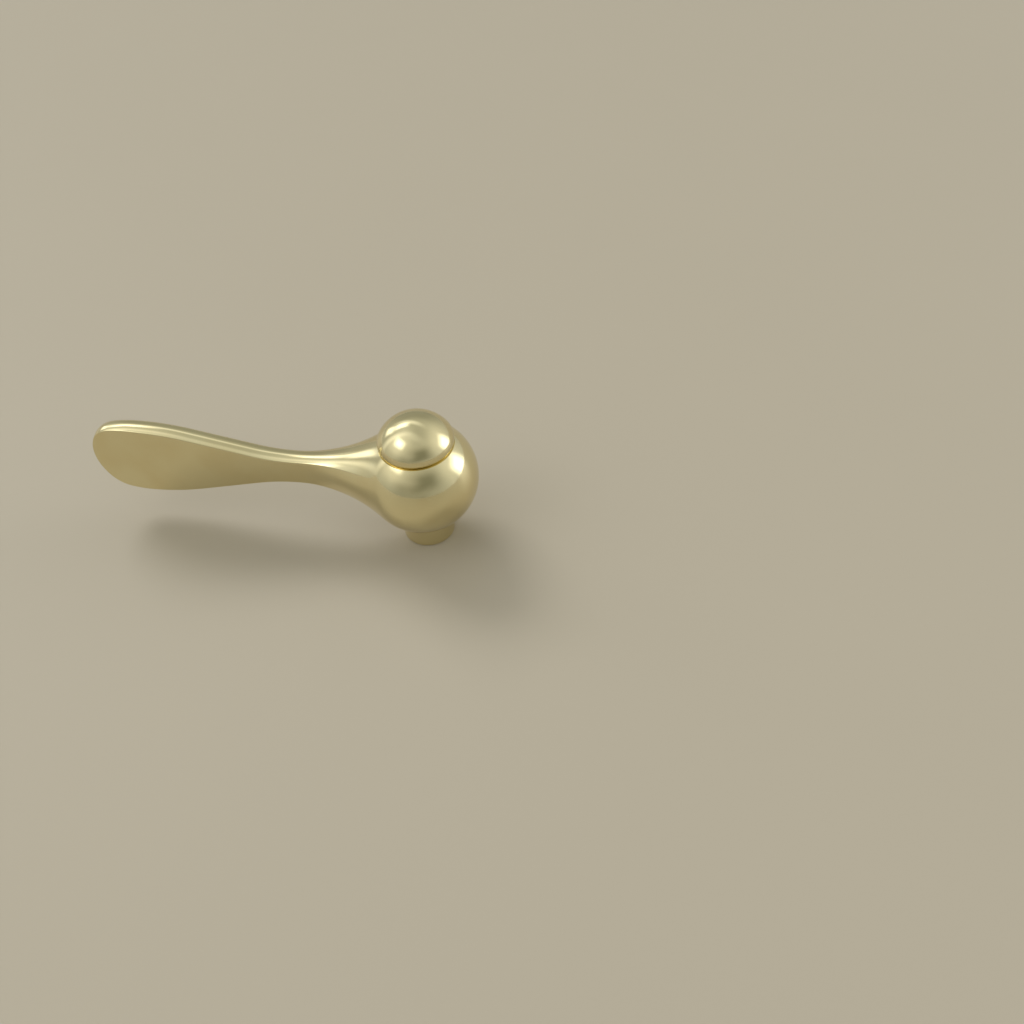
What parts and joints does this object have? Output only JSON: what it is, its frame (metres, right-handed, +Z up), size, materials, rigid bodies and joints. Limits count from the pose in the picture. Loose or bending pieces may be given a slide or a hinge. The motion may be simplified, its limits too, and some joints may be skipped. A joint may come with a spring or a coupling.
{
  "type": "tap handle",
  "caption": "Lever handle for a tap: polished brass ball hub with a domed cap, a waisted neck and a flat paddle lever, on a splined spindle socket.",
  "frame": {"origin": "on the spindle axis, at the foot of the collar", "axes": "+Z up along the spindle axis towards the domed cap, lever along -X, the lever's flat sides face -Y and +Y"},
  "size_m": [0.0983, 0.028, 0.037],
  "materials": {
    "polished_brass": "polished, lacquered",
    "seal_rubber": "matte",
    "screw_steel": "plain, bright"
  },
  "bodies": {
    "root": {"handle_body": "polished_brass", "index_cap": "polished_brass", "cap_seal_ring": "seal_rubber", "fixing_screw": "screw_steel", "screw_washer": "screw_steel"}
  },
  "joints": []
}
